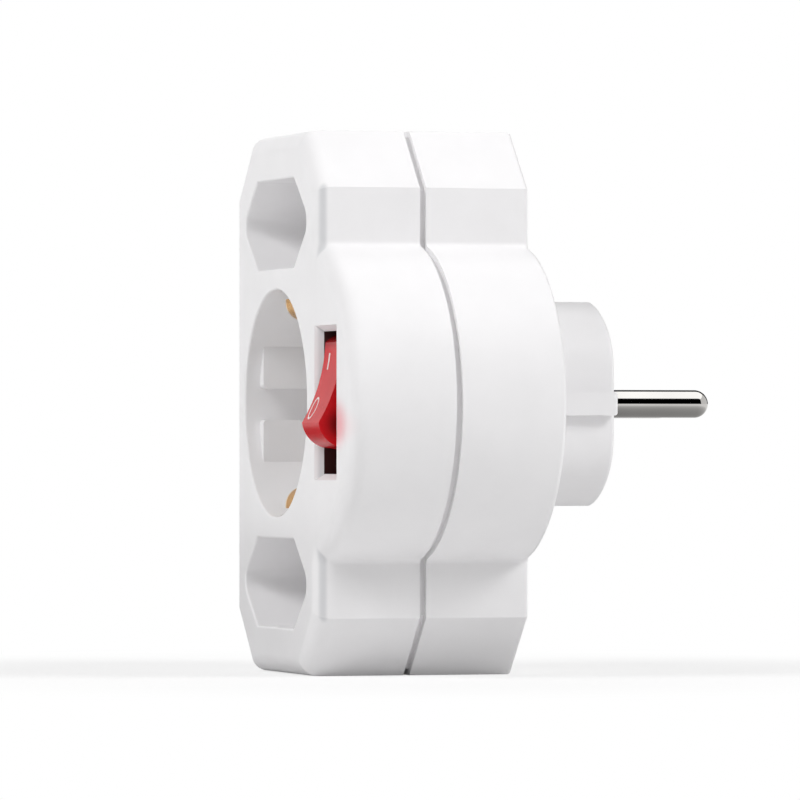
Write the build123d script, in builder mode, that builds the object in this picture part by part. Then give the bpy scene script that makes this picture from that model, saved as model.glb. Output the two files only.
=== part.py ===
from build123d import *
from math import atan, cos, degrees, radians, sin, sqrt, tan
import os

os.makedirs("parts", exist_ok=True)

# Three-way plug adapter with a rocker switch, in millimetres.
# +Y is the way the plug pins point, +Z is up and +X is the switch side.
# The origin is midway between the plug pins, on the plug's end face.

# Sizes set by the plug and socket system
pin_spacing = 19.0
pin_radius = 2.4
pin_length = 19.0
flat_pin_radius = 2.0
cup_radius = 19.5
cup_depth = 17.5
guide_reach = 16.7
guide_gap = 5.4
guide_height = 7.3
guide_start = 2.7
plug_radius = 18.0
plug_half_width = 15.8
plug_length = 18.8
plug_rib_width = 4.1
plug_rib_reach = 17.8

# Flat two-pin recesses
recess_half_width = 20.6
recess_half_flat = 11.4
recess_half_height = 7.65
recess_offset = 4.3
recess_corner = 1.2
recess_side_round = 2.8

# Housing
arm_half_width = 25.5
foot_half_width = 15.8
half_height = 46.3
corner_drop = 9.95
body_depth = 37.5
bulge_radius = 27.3
bulge_centre = 19.1
bulge_fillet = 1.0
corner_round = 3.6
front_round = 3.2
rear_round = 0.8
plug_round = 0.8
plug_side_round = 10.0
rim_round = 0.4
wall = 2.5
seam_width = 1.1
groove_depth = 1.1
tongue_length = 3.2
tongue_gap = 0.1
tongue_thickness = 1.2
cup_wall = 1.5
cup_floor = 2.4
recess_floor = 2.0
hole_clearance = 0.25
flat_hole_clearance = 0.4
hole_chamfer = 0.5
guide_round = 0.8
plug_wall = 2.2
plug_end_wall = 3.0

# Housing screws
screw_inset = 6.8
screw_z = 23.6
screw_radius = 1.5
screw_grip = 13.0
screw_head_radius = 2.7
screw_head_height = 2.0
screw_seat_depth = 24.0
screw_end_gap = 2.0
screw_boss_radius = 2.9
well_radius = 2.9
well_wall = 1.0
driver_slot_width = 0.8
driver_slot_length = 3.2
driver_slot_depth = 1.0

# Plug pins
pin_shank_radius = 2.6
pin_head_gap = 1.7
pin_collar_radius = 3.2
pin_collar_height = 1.5
pin_neck_radius = 1.5
pin_head_radius = 2.2
pin_head_height = 0.8
pin_tube_wall = 1.8

# Strip metal and spring contacts
strip = 0.8
leaf = 0.5
clip_half_width = 2.9
clip_height = 5.0
clip_mouth = 3.2
clip_grip = 0.25
clip_throat = 4.0
clip_body = 8.0
clip_setback = 0.5
clip_bend = 0.6
clip_back_gap = 2.8
pin_tip_gap = 0.7
busbar_front = 23.5
busbar_width = 7.0
busbar_overhang = 4.25
bar_post_height = 17.0
bar_post_size = 3.0
bar_post_cheek = 1.4
strap_width = 5.0
strap_gap = 0.1
strap_bend = 0.6
feed_run_gap = 1.0

# Earth brackets
earth_width = 6.0
earth_leg_height = 17.3
earth_bow_height = 14.7
earth_tip_inset = 2.1
earth_tip_run = 0.5
earth_crest = 1.7
earth_start = 3.1
earth_return_depth = 14.5
earth_web_inset = 0.5
earth_bend = 1.0
earth_return_radius = 8.0
earth_slot_start = 1.8
earth_slot_gap = 0.35
earth_slot_recess = 0.6
plug_earth_height = 17.1
plug_earth_foot = 16.5
plug_earth_bow_radius = 20.0
earth_end_gap = 2.2
earth_tip_gap = 0.3
earth_post_width = 5.0
earth_post_height = 8.0
earth_screw_radius = 1.25
earth_hole_depth = 6.0
earth_screw_gap = 0.5
earth_head_radius = 2.3
earth_head_height = 1.3

# Switch opening and case
switch_x = 30.85
opening_side_gap = 0.6
opening_end_gap = 0.23
bezel_width = 1.0
bezel_depth = 1.4
case_side_gap = 0.4
case_end_step = 0.2
case_wall = 1.3
case_depth = 20.1
case_floor = 1.5
collar_wall = 1.2
collar_gap = 0.15
collar_depth = 6.0

# Rocker
rocker_tilt = 17.0
pivot_depth = 10.4
rocker_width = 10.0
rocker_wall = 1.4
rocker_height = 11.5
rocker_lip = 7.05
rocker_sag = 0.9
rocker_half_length = 9.95
nose_radius = 5.15
rocker_skirt = 2.0
skirt_taper = 0.8
ear_radius = 3.2
trunnion_radius = 1.5
trunnion_gap = 0.05
trunnion_length = 1.1
pillar_radius = 2.7
pillar_end = 1.6
plunger_radius = 1.8
plunger_gap = 0.08
plunger_seat = 1.5
plunger_shoulder = 3.2
plunger_tip_radius = 1.0
plunger_tip = 5.6
spring_length = 4.5
spring_wire = 0.25
spring_pitch = 0.9

# Switch contacts
blade_tilt = 8.0
blade_vee = 6.0
blade_half_length = 6.3
blade_width = 4.0
blade_depth = 16.5
blade_gap = 0.16
blade_bend = 0.9
button_radius = 1.2
button_height = 0.4
button_place = 5.0
button_gap = 0.1
terminal_width = 4.8
cradle_ear = 1.1
cradle_rise = 0.9
load_z = 6.3
load_head = 2.4
load_run_depth = 27.0
neutral_inset = 1.25
neutral_end_depth = 26.0
neutral_top_depth = 17.0

# Lamp, resistor and leads
lamp_radius = 1.7
lamp_length = 8.6
lamp_inset = 3.2
lamp_depth = 15.2
resistor_radius = 1.15
resistor_length = 6.4
resistor_depth = 16.2
rib_thickness = 1.0
rib_inset = 0.5
saddle_gap = 0.03
saddle_margin = 0.3
lead_radius = 0.3
lead_bend = 0.5
lead_reach = 4.9
lead_depth = 19.1
wire_radius = 0.8
wire_rear_gap = 0.8
wire_lead_in = 7.0

# Clearance of a pressed or soldered joint, drawn as bare contact
seat_gap = 0.02

# Places along Y
front_y = -(body_depth + plug_length)
rear_y = -plug_length
seam_depth = body_depth / 2
seam_y = front_y + seam_depth
seam_front_y = seam_y - seam_width / 2
seam_rear_y = seam_y + seam_width / 2
rear_wall_y = rear_y - wall
plug_floor_y = -plug_end_wall
cup_floor_y = front_y + cup_depth
cup_back_y = cup_floor_y + cup_floor
clip_length = pin_length + pin_tip_gap + leaf
recess_floor_y = rear_wall_y - clip_back_gap - clip_length
recess_depth = recess_floor_y - front_y
recess_back_y = recess_floor_y + recess_floor
pin_head_y = cup_floor_y + clip_length + pin_head_gap
pin_strap_y = pin_head_y + pin_head_height
pin_collar_y = pin_strap_y + strip
pin_seat_y = pin_collar_y + pin_collar_height
earth_web_y = rear_y + earth_web_inset
plug_web_y = earth_web_y + strip
post_end_y = plug_web_y + strip
busbar_y = front_y + busbar_front
busbar_rear_y = busbar_y + busbar_width
feed_run_y = rear_wall_y - feed_run_gap
inner_front_y = front_y + wall
case_front_y = front_y + bezel_depth
case_rear_y = case_front_y + case_depth
case_floor_y = case_rear_y - case_floor
pivot_y = front_y + pivot_depth
blade_y = front_y + blade_depth

# Rocker's lean at rest, and the centre of its nose above and along from the pivot
lean = radians(rocker_tilt)
along = (0, sin(lean), cos(lean))
outward = (0, -cos(lean), sin(lean))
nose_x = rocker_half_length - nose_radius
nose_y = rocker_height - sqrt(nose_radius**2 - (rocker_lip - nose_x) ** 2)
lip_angle = degrees(atan((rocker_height - nose_y) / (rocker_lip - nose_x)))
rocker_reach = nose_x * cos(lean) + nose_y * sin(lean) + nose_radius

# Switch opening and case, round the rocker
opening_width = rocker_width + 2 * opening_side_gap
opening_length = 2 * (rocker_reach + opening_end_gap)
case_inner_width = rocker_width + 2 * case_side_gap
case_inner_length = opening_length + 2 * case_end_step
lamp_z = case_inner_length / 2 - lamp_inset
neutral_z = case_inner_length / 2 - neutral_inset

# Places across the housing
pin_x = pin_spacing / 2
corner_z = half_height - corner_drop
recess_height = (cup_radius + half_height - recess_offset) / 2
busbar_half_length = recess_height + busbar_overhang
screw_x = arm_half_width - screw_inset
junction_z = sqrt(bulge_radius**2 - (arm_half_width - bulge_centre) ** 2)
tongue_inset = wall + tongue_gap
ring_inset = tongue_inset + tongue_thickness
busbar_x = pin_x + clip_half_width
busbar_outer_x = busbar_x + strip
strap_x = busbar_outer_x + strap_gap + strip / 2
screw_places = [(x, z) for x in (-screw_x, screw_x) for z in (-screw_z, screw_z)]
case_half_width = case_inner_width / 2 + case_wall
case_half_length = case_inner_length / 2 + case_wall
earth_slot_width = earth_width + 2 * earth_slot_gap
earth_tip_height = cup_radius + earth_slot_recess - earth_tip_inset
earth_bow_radius = earth_tip_height - earth_tip_run - earth_bow_height


def cross_plane(y):
    """Plane across the housing at y, with X to the right and Z up, facing the front."""
    return Plane(origin=(0, y, 0), x_dir=(1, 0, 0), z_dir=(0, -1, 0))


def outline(y, inset=0.0):
    """Outline of the housing at y, drawn in by inset."""
    with BuildSketch(cross_plane(y)) as sketch:
        with BuildLine():
            Polyline(
                (arm_half_width, junction_z),
                (arm_half_width, corner_z),
                (foot_half_width, half_height),
                (-foot_half_width, half_height),
                (-arm_half_width, corner_z),
                (-arm_half_width, -corner_z),
                (-foot_half_width, -half_height),
                (foot_half_width, -half_height),
                (arm_half_width, -corner_z),
                (arm_half_width, -junction_z),
            )
            ThreePointArc(
                (arm_half_width, -junction_z),
                (bulge_centre + bulge_radius, 0),
                (arm_half_width, junction_z),
            )
        make_face()
        junctions = sketch.vertices().filter_by(lambda v: abs(abs(v.Y) - junction_z) < 0.01)
        corners = sketch.vertices().filter_by(lambda v: abs(v.Y) > corner_z - 0.01)
        fillet(junctions, bulge_fillet)
        fillet(corners, corner_round)
        if inset:
            offset(amount=-inset, kind=Kind.INTERSECTION)
    return sketch.sketch


def ring(y, outer_inset, inner_inset):
    """Band that follows the housing's outline between two insets."""
    with BuildSketch(cross_plane(y)) as sketch:
        add(cross_plane(y).to_local_coords(outline(y, outer_inset)))
        add(cross_plane(y).to_local_coords(outline(y, inner_inset)), mode=Mode.SUBTRACT)
    return sketch.sketch


def recess(y, side, grow=0.0):
    """Six-sided recess outline, above (side 1) or below (side -1) the cup."""
    points = [
        (-recess_half_flat, -recess_half_height),
        (recess_half_flat, -recess_half_height),
        (recess_half_width, 0),
        (recess_half_flat, recess_half_height),
        (-recess_half_flat, recess_half_height),
        (-recess_half_width, 0),
    ]
    with BuildSketch(cross_plane(y)) as sketch:
        with Locations((0, side * recess_height)):
            Polygon(*points, align=None)
        sides = sketch.vertices().filter_by(lambda v: abs(v.X) > recess_half_width - 0.01)
        corners = sketch.vertices().filter_by(lambda v: abs(v.X) < recess_half_width - 0.01)
        fillet(sides, recess_side_round)
        fillet(corners, recess_corner)
        if grow:
            offset(amount=grow)
    return sketch.sketch


def plug_section(y):
    """Section of the plug: a round with softly met flat sides, each with a guide rib."""
    with BuildSketch(cross_plane(y)) as sketch:
        Circle(plug_radius)
        Rectangle(2 * plug_half_width, 2 * plug_radius, mode=Mode.INTERSECT)
        fillet(sketch.vertices(), plug_side_round)
        Rectangle(2 * plug_rib_reach, plug_rib_width)
    return sketch.sketch


# Front shell
with BuildPart() as front_shell:
    extrude(outline(front_y), amount=-(seam_front_y - front_y))
    fillet(front_shell.faces().sort_by(Axis.Y)[0].edges(), front_round)
    extrude(outline(inner_front_y, wall), amount=-seam_depth, mode=Mode.SUBTRACT)
    with BuildSketch(cross_plane(inner_front_y)):
        with Locations(*screw_places):
            Circle(screw_boss_radius)
    extrude(amount=-(seam_y - inner_front_y))
    with BuildSketch(cross_plane(inner_front_y)):
        with Locations((switch_x, 0)):
            Rectangle(
                2 * (case_half_width + collar_gap + collar_wall),
                2 * (case_half_length + collar_gap + collar_wall),
            )
            Rectangle(
                2 * (case_half_width + collar_gap),
                2 * (case_half_length + collar_gap),
                mode=Mode.SUBTRACT,
            )
    extrude(amount=-collar_depth)
    for side in (-1, 1):
        extrude(recess(front_y, side, cup_wall), amount=-(recess_back_y - front_y))
        extrude(recess(front_y, side), amount=-recess_depth, mode=Mode.SUBTRACT)
    with BuildSketch(cross_plane(front_y)):
        Circle(cup_radius + cup_wall)
    extrude(amount=-(cup_back_y - front_y))
    with BuildSketch(cross_plane(front_y)):
        Circle(cup_radius)
    extrude(amount=-cup_depth, mode=Mode.SUBTRACT)
    with BuildSketch(cross_plane(front_y + guide_start)):
        guide_width = cup_radius + cup_wall - guide_reach
        guide_z = (guide_gap + guide_height) / 2
        with Locations(
            *[(x * (guide_reach + guide_width / 2), z * guide_z) for x in (-1, 1) for z in (-1, 1)]
        ):
            Rectangle(guide_width, guide_height)
        Circle(cup_radius + cup_wall / 2, mode=Mode.INTERSECT)
    extrude(amount=-(cup_depth - guide_start))
    guide_y = front_y + guide_start
    guide_edges = front_shell.edges().filter_by_position(Axis.Y, guide_y - 0.01, guide_y + 0.01)
    fillet(guide_edges.filter_by(Axis.X).filter_by(lambda e: e.length > guide_round), guide_round)
    # Pockets in the cup wall and slots in its floor for the earth springs
    with BuildSketch(cross_plane(front_y + earth_slot_start)):
        Rectangle(earth_slot_width, 2 * (cup_radius + earth_slot_recess))
        Rectangle(earth_slot_width, 2 * (earth_bow_height - strip), mode=Mode.SUBTRACT)
    extrude(amount=-(cup_back_y - front_y), mode=Mode.SUBTRACT)
    # Pin holes
    with BuildSketch(cross_plane(cup_floor_y)):
        with Locations((-pin_x, 0), (pin_x, 0)):
            Circle(pin_radius + hole_clearance)
    extrude(amount=-cup_floor, mode=Mode.SUBTRACT)
    with BuildSketch(cross_plane(recess_floor_y)):
        with Locations(*[(x, z) for x in (-pin_x, pin_x) for z in (-recess_height, recess_height)]):
            Circle(flat_pin_radius + flat_hole_clearance)
    extrude(amount=-recess_floor, mode=Mode.SUBTRACT)
    mouths = [
        edge
        for edge in front_shell.edges().filter_by(GeomType.CIRCLE)
        if edge.is_closed
        and edge.radius < 2 * pin_radius
        and min(abs(edge.center().Y - y) for y in (cup_floor_y, recess_floor_y)) < 0.01
    ]
    chamfer(mouths, hole_chamfer)
    # Rounded rims of the cup and the recesses
    rims = front_shell.faces().sort_by(Axis.Y)[0].inner_wires().edges()
    fillet(rims, rim_round)
    # Switch opening with its sloping bezel, and behind it the seat of the switch case
    with BuildSketch(cross_plane(front_y)):
        with Locations((switch_x, 0)):
            Rectangle(opening_width + 2 * bezel_width, opening_length + 2 * bezel_width)
    extrude(amount=-bezel_depth, taper=degrees(atan(bezel_width / bezel_depth)), mode=Mode.SUBTRACT)
    with BuildSketch(cross_plane(case_front_y)):
        with Locations((switch_x, 0)):
            Rectangle(2 * (case_half_width + collar_gap), 2 * (case_half_length + collar_gap))
    extrude(amount=-(inner_front_y - case_front_y), mode=Mode.SUBTRACT)
    # Blind holes for the housing screws
    with BuildSketch(cross_plane(seam_y)):
        with Locations(*screw_places):
            Circle(screw_radius + seat_gap)
    extrude(amount=screw_grip, mode=Mode.SUBTRACT)
front_shell.part.label = "front_shell"
export_step(front_shell.part, "parts/front_shell.step")

# Rear shell
with BuildPart() as rear_shell:
    extrude(outline(seam_rear_y), amount=-(rear_y - seam_rear_y))
    fillet(rear_shell.faces().sort_by(Axis.Y)[-1].edges(), rear_round)
    extrude(plug_section(rear_wall_y), amount=-(wall + plug_length))
    fillet(rear_shell.faces().sort_by(Axis.Y)[-1].edges(), plug_round)
    extrude(outline(seam_rear_y, wall), amount=-(rear_wall_y - seam_rear_y), mode=Mode.SUBTRACT)
    # Lip across the seam and the tongue that locates the front shell
    extrude(ring(seam_front_y, groove_depth, ring_inset), amount=-(seam_width + wall))
    extrude(ring(seam_front_y, tongue_inset, ring_inset), amount=tongue_length)
    # Hollow of the plug
    with BuildSketch(cross_plane(rear_wall_y)):
        Circle(plug_radius - plug_wall)
        Rectangle(
            2 * (strap_x + strip / 2 + strap_gap), 2 * plug_radius, mode=Mode.INTERSECT
        )
    extrude(amount=-(plug_floor_y - rear_wall_y), mode=Mode.SUBTRACT)
    # Windows for the earth strips, above and below
    with BuildSketch(cross_plane(rear_wall_y)):
        Rectangle(earth_slot_width, 2 * (plug_radius + earth_slot_recess))
        Rectangle(earth_slot_width, 2 * (plug_radius - 2 * plug_wall), mode=Mode.SUBTRACT)
    extrude(amount=-(-earth_end_gap - rear_wall_y), mode=Mode.SUBTRACT)
    # Grooves from the windows to the end face, where a socket's earth springs slide in
    with BuildSketch(cross_plane(-earth_end_gap)):
        Rectangle(earth_slot_width, 2 * (plug_radius + earth_slot_recess))
        Rectangle(earth_slot_width, 2 * (plug_earth_foot + strip / 2), mode=Mode.SUBTRACT)
    extrude(amount=-earth_end_gap, mode=Mode.SUBTRACT)
    # Tubes that carry the plug pins, and the post for the earth screw
    with BuildSketch(cross_plane(pin_seat_y)):
        with Locations((-pin_x, 0), (pin_x, 0)):
            Circle(pin_shank_radius + pin_tube_wall)
    extrude(amount=-(plug_floor_y - pin_seat_y))
    with BuildSketch(cross_plane(post_end_y)):
        Rectangle(earth_post_width, earth_post_height)
    extrude(amount=-(plug_floor_y - post_end_y))
    with BuildSketch(cross_plane(post_end_y)):
        Circle(earth_screw_radius + seat_gap)
    extrude(amount=-earth_hole_depth, mode=Mode.SUBTRACT)
    with BuildSketch(cross_plane(0)):
        with Locations((-pin_x, 0), (pin_x, 0)):
            Circle(pin_shank_radius + seat_gap)
    extrude(amount=-pin_seat_y, mode=Mode.SUBTRACT)
    # Columns for the housing screws, with wells open to the back
    with BuildSketch(cross_plane(seam_y)):
        with Locations(*screw_places):
            Circle(well_radius + well_wall)
    extrude(amount=-(rear_wall_y - seam_y))
    with BuildSketch(cross_plane(front_y + screw_seat_depth)):
        with Locations(*screw_places):
            Circle(well_radius)
    extrude(amount=-(rear_y - front_y - screw_seat_depth), mode=Mode.SUBTRACT)
    with BuildSketch(cross_plane(seam_y)):
        with Locations(*screw_places):
            Circle(screw_radius + hole_clearance)
    extrude(amount=-(front_y + screw_seat_depth - seam_y), mode=Mode.SUBTRACT)
    # Room for the busbars beside the columns, and the slotted posts that hold them
    with BuildSketch(cross_plane(busbar_y)):
        with Locations((-busbar_x - strip / 2, 0), (busbar_x + strip / 2, 0)):
            Rectangle(strip + 2 * strap_gap, 2 * (busbar_half_length + strap_gap))
    extrude(amount=-busbar_width, mode=Mode.SUBTRACT)
    bar_places = [(x, z) for x in (-1, 1) for z in (-bar_post_height, bar_post_height)]
    post_width = strip + 2 * bar_post_cheek
    with BuildSketch(cross_plane(busbar_rear_y - busbar_width / 2)):
        with Locations(*[(x * (busbar_x + strip / 2), z) for x, z in bar_places]):
            Rectangle(post_width, bar_post_size)
    extrude(amount=-(rear_wall_y - busbar_rear_y + busbar_width / 2))
    with BuildSketch(cross_plane(busbar_rear_y - busbar_width / 2)):
        with Locations(*[(x * (busbar_x + strip / 2), z) for x, z in bar_places]):
            Rectangle(strip + 2 * seat_gap, bar_post_size)
    extrude(amount=-busbar_width / 2, mode=Mode.SUBTRACT)
    # Three posts hold the switch case against the front shell, clear of the wire
    post_corners = [(-1, -1), (1, -1), (1, 1)]
    with BuildSketch(cross_plane(case_rear_y)):
        with Locations((switch_x, 0)):
            with Locations(
                *[(x * case_inner_width / 2, z * case_inner_length / 2) for x, z in post_corners]
            ):
                Rectangle(2 * case_wall, 2 * case_wall)
    extrude(amount=-(rear_wall_y - case_rear_y))
rear_shell.part.label = "rear_shell"
export_step(rear_shell.part, "parts/rear_shell.step")


def traced(plane, points, radius, width):
    """Face of a bent strip of the given width along a filleted path on a plane."""
    with BuildSketch(plane) as sketch:
        with BuildLine():
            FilletPolyline(*points, radius=radius)
        trace(line_width=width)
    return sketch.sketch


# Housing screws, pan headed with a cross recess
with BuildPart() as housing_screws:
    with BuildSketch(cross_plane(front_y + screw_seat_depth)):
        with Locations(*screw_places):
            Circle(screw_radius)
    extrude(amount=screw_seat_depth - seam_depth + screw_grip - screw_end_gap)
    with BuildSketch(cross_plane(front_y + screw_seat_depth)):
        with Locations(*screw_places):
            Circle(screw_head_radius)
    extrude(amount=-screw_head_height)
    heads = housing_screws.faces().filter_by(GeomType.PLANE).group_by(Axis.Y)[-1]
    fillet(heads.edges(), screw_head_height / 3)
    with BuildSketch(cross_plane(front_y + screw_seat_depth + screw_head_height)):
        with Locations(*screw_places):
            Rectangle(driver_slot_length, driver_slot_width)
            Rectangle(driver_slot_width, driver_slot_length)
    extrude(amount=driver_slot_depth, mode=Mode.SUBTRACT)
housing_screws.part.label = "housing_screws"
export_step(housing_screws.part, "parts/housing_screws.step")


def plug_pin(x):
    """Round plug pin with a wider shank, a collar and a riveted head inside the plug."""
    with BuildPart() as pin:
        with BuildSketch(Plane.XY):
            with BuildLine():
                Polyline(
                    (x, pin_head_y),
                    (x + pin_head_radius, pin_head_y),
                    (x + pin_head_radius, pin_strap_y),
                    (x + pin_neck_radius, pin_strap_y),
                    (x + pin_neck_radius, pin_collar_y),
                    (x + pin_collar_radius, pin_collar_y),
                    (x + pin_collar_radius, pin_seat_y),
                    (x + pin_shank_radius, pin_seat_y),
                    (x + pin_shank_radius, 0),
                    (x + pin_radius, 0),
                    (x + pin_radius, pin_length - pin_radius),
                )
                RadiusArc(
                    (x + pin_radius, pin_length - pin_radius), (x, pin_length), -pin_radius
                )
                Line((x, pin_length), (x, pin_head_y))
            make_face()
        revolve(axis=Axis((x, 0, 0), (0, 1, 0)))
    return pin.part


live_pin = plug_pin(pin_x)
live_pin.label = "live_pin"
export_step(live_pin, "parts/live_pin.step")
neutral_pin = plug_pin(-pin_x)
neutral_pin.label = "neutral_pin"
export_step(neutral_pin, "parts/neutral_pin.step")


def spring_contact(x, z, radius, mouth_y, back_y):
    """Folded spring contact whose two leaves grip a pin of the given radius."""
    middle = clip_half_width - leaf / 2
    grip = radius - clip_grip + leaf / 2
    side = [
        (clip_mouth, mouth_y),
        (grip, mouth_y + clip_throat),
        (middle, mouth_y + clip_body),
        (middle, back_y - leaf / 2),
    ]
    left = [(x - dx, y) for dx, y in side]
    right = [(x + dx, y) for dx, y in reversed(side)]
    section = traced(Plane.XY.offset(z - clip_height / 2), left + right, clip_bend, leaf)
    with BuildPart() as contact:
        extrude(section, amount=clip_height)
    return contact.part


cup_ends = (cup_back_y + clip_setback, cup_floor_y + clip_length)
flat_ends = (recess_back_y + clip_setback, recess_floor_y + clip_length)
clips = {
    "round_socket": (0, pin_radius, *cup_ends),
    "upper_socket": (recess_height, flat_pin_radius, *flat_ends),
    "lower_socket": (-recess_height, flat_pin_radius, *flat_ends),
}
for side_name, x in (("live", pin_x), ("neutral", -pin_x)):
    for socket_name, (z, radius, mouth_y, back_y) in clips.items():
        contact = spring_contact(x, z, radius, mouth_y, back_y)
        contact.label = f"{socket_name}_{side_name}_contact"
        export_step(contact, f"parts/{contact.label}.step")

    # Busbar along the outer leaves of the three contacts
    with BuildPart() as busbar:
        with BuildSketch(cross_plane(busbar_y)):
            with Locations((x + (busbar_x + strip / 2 - pin_x) * (1 if x > 0 else -1), 0)):
                Rectangle(strip, 2 * busbar_half_length)
        extrude(amount=-busbar_width)
    busbar.part.label = f"{side_name}_busbar"
    export_step(busbar.part, f"parts/{side_name}_busbar.step")

# Strap from the live pin to the common terminal of the switch
strap_plane = Plane.XY.offset(-strap_width / 2)
strap_start = pin_x - pin_collar_radius
with BuildPart() as live_feed_strap:
    route = [
        (strap_start, pin_strap_y + strip / 2),
        (strap_x, pin_strap_y + strip / 2),
        (strap_x, feed_run_y),
        (switch_x + terminal_width / 2, feed_run_y),
    ]
    extrude(traced(strap_plane, route, strap_bend, strip), amount=strap_width)
    with BuildSketch(cross_plane(pin_strap_y)):
        with Locations((pin_x, 0)):
            Circle(pin_neck_radius + seat_gap)
    extrude(amount=-strip, mode=Mode.SUBTRACT)
live_feed_strap.part.label = "live_feed_strap"
export_step(live_feed_strap.part, "parts/live_feed_strap.step")

# Strap from the neutral pin to the neutral busbar
bar_strap_x = busbar_outer_x + strip / 2
with BuildPart() as neutral_pin_strap:
    route = [
        (-strap_start, pin_strap_y + strip / 2),
        (-bar_strap_x, pin_strap_y + strip / 2),
        (-bar_strap_x, busbar_y + busbar_width / 2),
    ]
    extrude(traced(strap_plane, route, strap_bend, strip), amount=strap_width)
    with BuildSketch(cross_plane(pin_strap_y)):
        with Locations((-pin_x, 0)):
            Circle(pin_neck_radius + seat_gap)
    extrude(amount=-strip, mode=Mode.SUBTRACT)
neutral_pin_strap.part.label = "neutral_pin_strap"
export_step(neutral_pin_strap.part, "parts/neutral_pin_strap.step")

# Strap from the load terminal of the switch to the live busbar
load_run_y = front_y + load_run_depth + strip / 2
with BuildPart() as load_strap:
    route = [
        (bar_strap_x, busbar_rear_y),
        (bar_strap_x, load_run_y),
        (switch_x + terminal_width / 2, load_run_y),
    ]
    load_plane = Plane.XY.offset(-load_z - strap_width / 2)
    extrude(traced(load_plane, route, strap_bend, strip), amount=strap_width)
load_strap.part.label = "load_strap"
export_step(load_strap.part, "parts/load_strap.step")

# Earth bracket of the round socket: a web with a bowed spring leg above and below
leg = [
    (front_y + earth_start, earth_tip_height),
    (front_y + earth_start, earth_bow_height),
    (front_y + earth_start + earth_bow_radius + earth_crest, earth_bow_height),
    (front_y + earth_return_depth, earth_leg_height),
    (earth_web_y + strip / 2, earth_leg_height),
]
earth_plane = Plane.YZ.offset(-earth_width / 2)
with BuildPart() as socket_earth_bracket:
    mirrored = [(y, -z) for y, z in reversed(leg)]
    bends = [earth_bow_radius, earth_bow_radius, earth_return_radius, earth_bend]
    section = traced(earth_plane, leg + mirrored, bends + bends[::-1], strip)
    extrude(section, amount=earth_width)
    with BuildSketch(cross_plane(earth_web_y)):
        Circle(earth_screw_radius + hole_clearance)
    extrude(amount=-strip, mode=Mode.SUBTRACT)
socket_earth_bracket.part.label = "socket_earth_bracket"
export_step(socket_earth_bracket.part, "parts/socket_earth_bracket.step")

# Earth bracket of the plug: a web with a contact strip along the top and the bottom
plug_leg = [
    (-earth_end_gap - earth_tip_gap, plug_earth_foot),
    ((plug_web_y - earth_end_gap) / 2, plug_earth_height),
    (plug_web_y + strip / 2, plug_earth_foot),
]
with BuildPart() as plug_earth_bracket:
    mirrored = [(y, -z) for y, z in reversed(plug_leg)]
    bends = [plug_earth_bow_radius, earth_bend]
    section = traced(earth_plane, plug_leg + mirrored, bends + bends[::-1], strip)
    extrude(section, amount=earth_width)
    with BuildSketch(cross_plane(plug_web_y)):
        Circle(earth_screw_radius + hole_clearance)
    extrude(amount=-strip, mode=Mode.SUBTRACT)
plug_earth_bracket.part.label = "plug_earth_bracket"
export_step(plug_earth_bracket.part, "parts/plug_earth_bracket.step")

# Screw that holds both earth brackets to the plug
with BuildPart() as earth_screw:
    with BuildSketch(cross_plane(earth_web_y)):
        Circle(earth_head_radius)
    extrude(amount=earth_head_height)
    with BuildSketch(cross_plane(earth_web_y - earth_head_height)):
        Rectangle(2 * earth_screw_radius, driver_slot_width)
    extrude(amount=-earth_head_height / 2, mode=Mode.SUBTRACT)
    with BuildSketch(cross_plane(earth_web_y)):
        Circle(earth_screw_radius)
    extrude(amount=-(2 * strip + earth_hole_depth - earth_screw_gap))
earth_screw.part.label = "earth_screw"
export_step(earth_screw.part, "parts/earth_screw.step")


def along_switch(y, z):
    """Plane at the switch's middle, at y and z, looking along X."""
    return Plane(origin=(switch_x, y, z), x_dir=(0, 1, 0), z_dir=(1, 0, 0))


# Switch case: a box open to the front, with cradles for the lamp and the resistor
with BuildPart() as switch_case:
    with BuildSketch(cross_plane(case_front_y)):
        with Locations((switch_x, 0)):
            Rectangle(2 * case_half_width, 2 * case_half_length)
    extrude(amount=-case_depth)
    with BuildSketch(cross_plane(case_front_y)):
        with Locations((switch_x, 0)):
            Rectangle(case_inner_width, case_inner_length)
    extrude(amount=-(case_depth - case_floor), mode=Mode.SUBTRACT)
    for z, depth, radius, length in (
        (-lamp_z, lamp_depth, lamp_radius, lamp_length),
        (lamp_z, resistor_depth, resistor_radius, resistor_length),
    ):
        rib_x = length / 2 - rib_inset - rib_thickness / 2
        with BuildSketch(cross_plane(front_y + depth)):
            with Locations((switch_x - rib_x, z), (switch_x + rib_x, z)):
                Rectangle(rib_thickness, 2 * (radius + saddle_margin))
        extrude(amount=-(case_floor_y - front_y - depth))
        with BuildSketch(along_switch(front_y + depth, z)):
            Circle(radius + saddle_gap)
        extrude(amount=case_inner_width / 2, both=True, mode=Mode.SUBTRACT)
    # Bearings for the rocker
    with BuildSketch(along_switch(pivot_y, 0)):
        Circle(trunnion_radius + trunnion_gap)
    extrude(amount=case_half_width, both=True, mode=Mode.SUBTRACT)
    # Slots for the three terminals
    with BuildSketch(cross_plane(case_floor_y)):
        with Locations(*[(switch_x, z) for z in (-load_z, 0, neutral_z)]):
            Rectangle(terminal_width + 2 * seat_gap, strip + 2 * seat_gap)
    extrude(amount=-case_floor, mode=Mode.SUBTRACT)
switch_case.part.label = "switch_case"
export_step(switch_case.part, "parts/switch_case.step")


def rocker_plane(x):
    """Plane across the rocker at x from its middle: X along its length, Y outwards."""
    return Plane(origin=(switch_x + x, pivot_y, 0), x_dir=along, z_dir=(1, 0, 0))


def pivot_plane(height):
    """Plane across the rocker's stem at a height above the pivot, facing outwards."""
    place = (switch_x, pivot_y + height * outward[1], height * outward[2])
    return Plane(origin=place, x_dir=(1, 0, 0), z_dir=outward)


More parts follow.
